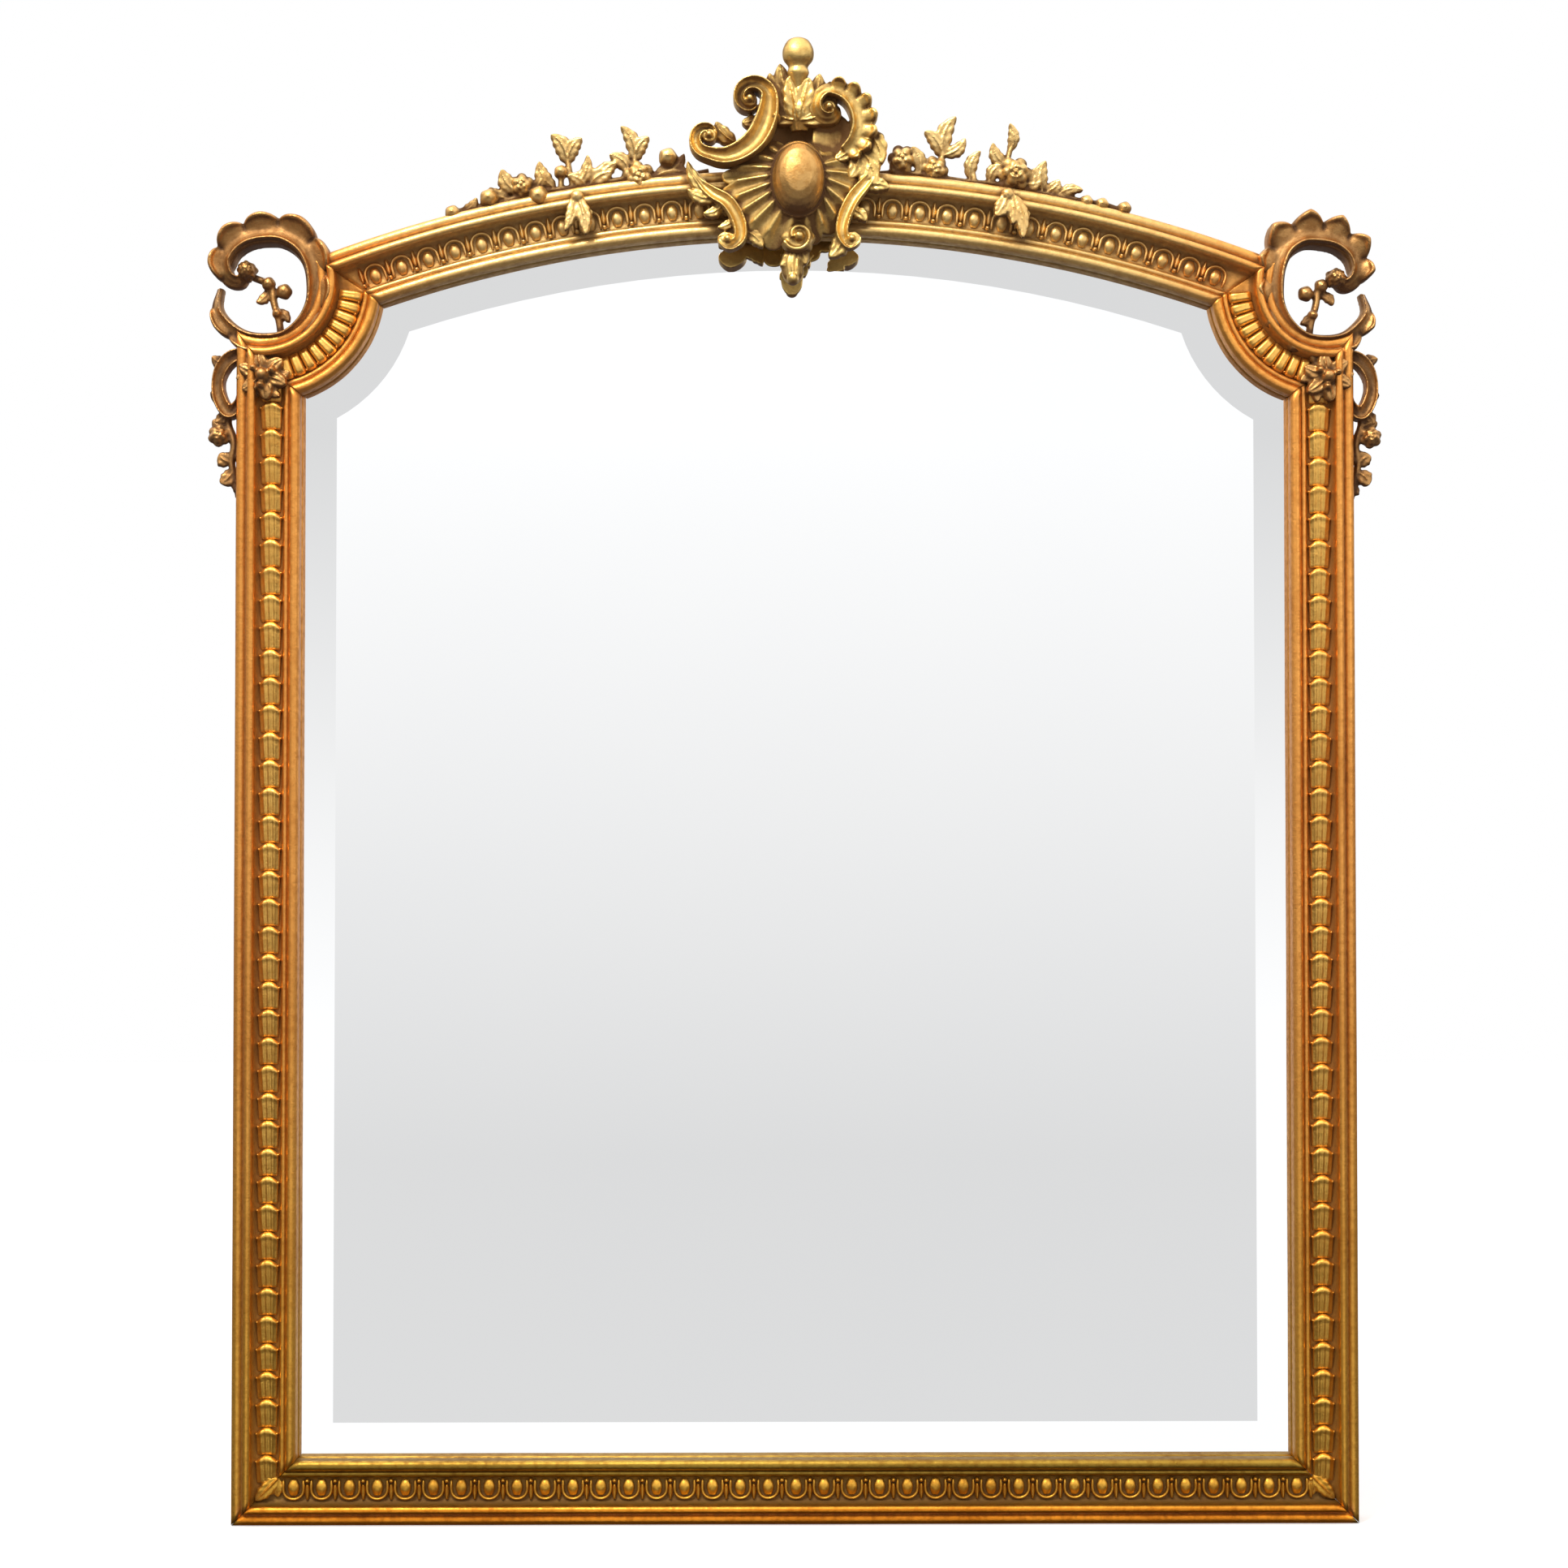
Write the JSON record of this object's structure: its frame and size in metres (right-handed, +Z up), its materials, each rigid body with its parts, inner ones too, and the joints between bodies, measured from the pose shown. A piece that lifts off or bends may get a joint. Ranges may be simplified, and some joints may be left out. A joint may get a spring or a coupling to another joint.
{
  "type": "trumeau mirror",
  "caption": "Arched gilt wood overmantel mirror with bevelled plate, carved crest, garlands and open corner volutes.",
  "frame": {"origin": "middle of the bottom rail's back, at its underside, in the wall plane", "axes": "+X to the viewer's right, +Y into the wall, +Z up"},
  "size_m": [1.347, 0.12, 1.69],
  "materials": {
    "gilt_moulding": "worn burnished gilding over red bole",
    "gilt_ornament": "worn gilding with dark recesses",
    "gilt_carving": "burnished gilding with toned recesses",
    "gilt_support": "toned gilding",
    "mirror_plate": "silvered plate with ground bevel",
    "pine_boards": "aged bare pine",
    "hardwood_blocks": "bare",
    "hanger_iron": "dark oxidised",
    "ring_brass": "dull",
    "screw_steel": "dull"
  },
  "bodies": {
    "mirror": {"backboard_plank_1": "pine_boards", "backboard_plank_2": "pine_boards", "backboard_plank_3": "pine_boards", "backboard_plank_4": "pine_boards", "backboard_plank_5": "pine_boards", "bottom_rail": "gilt_moulding", "bottom_rail_cups": "gilt_ornament", "crest_boss": "gilt_carving", "crest_finial": "gilt_carving", "crest_flame_leaves": "gilt_carving", "crest_left_acanthus": "gilt_carving", "crest_left_scroll": "gilt_carving", "crest_pendant": "gilt_carving", "crest_right_acanthus": "gilt_carving", "crest_right_scroll": "gilt_carving", "crest_rosette": "gilt_carving", "crest_shell": "gilt_carving", "crest_support": "gilt_support", "glazing_blocks": "hardwood_blocks", "hanger_screws": "screw_steel", "left_corner_drop": "gilt_carving", "left_corner_flowers": "gilt_carving", "left_corner_loop": "gilt_carving", "left_corner_sprig": "gilt_carving", "left_corner_volute": "gilt_carving", "left_drop_leaves": "gilt_carving", "left_garland": "gilt_carving", "left_hanger_plate": "hanger_iron", "left_shoulder": "gilt_moulding", "left_shoulder_gadroons": "gilt_ornament", "left_stile": "gilt_moulding", "left_stile_cups": "gilt_ornament", "lower_back_batten": "pine_boards", "mirror_glass": "mirror_plate", "right_corner_drop": "gilt_carving", "right_corner_flowers": "gilt_carving", "right_corner_loop": "gilt_carving", "right_corner_sprig": "gilt_carving", "right_corner_volute": "gilt_carving", "right_drop_leaves": "gilt_carving", "right_garland": "gilt_carving", "right_hanger_plate": "hanger_iron", "right_shoulder": "gilt_moulding", "right_shoulder_gadroons": "gilt_ornament", "right_stile": "gilt_moulding", "right_stile_cups": "gilt_ornament", "top_rail": "gilt_moulding", "top_rail_cups": "gilt_ornament", "upper_back_batten": "pine_boards"},
    "left_ring": {"left_hanger_ring": "ring_brass"},
    "right_ring": {"right_hanger_ring": "ring_brass"}
  },
  "joints": [
    {"name": "left_ring_swing", "type": "hinge", "parent": "mirror", "child": "left_ring", "pos_m": [-0.612, -0.0052, 1.15], "axis": [1, 0, 0], "range_deg": [0, 150]},
    {"name": "right_ring_swing", "type": "hinge", "parent": "mirror", "child": "right_ring", "pos_m": [0.612, -0.0052, 1.15], "axis": [1, 0, 0], "range_deg": [0, 150]}
  ]
}
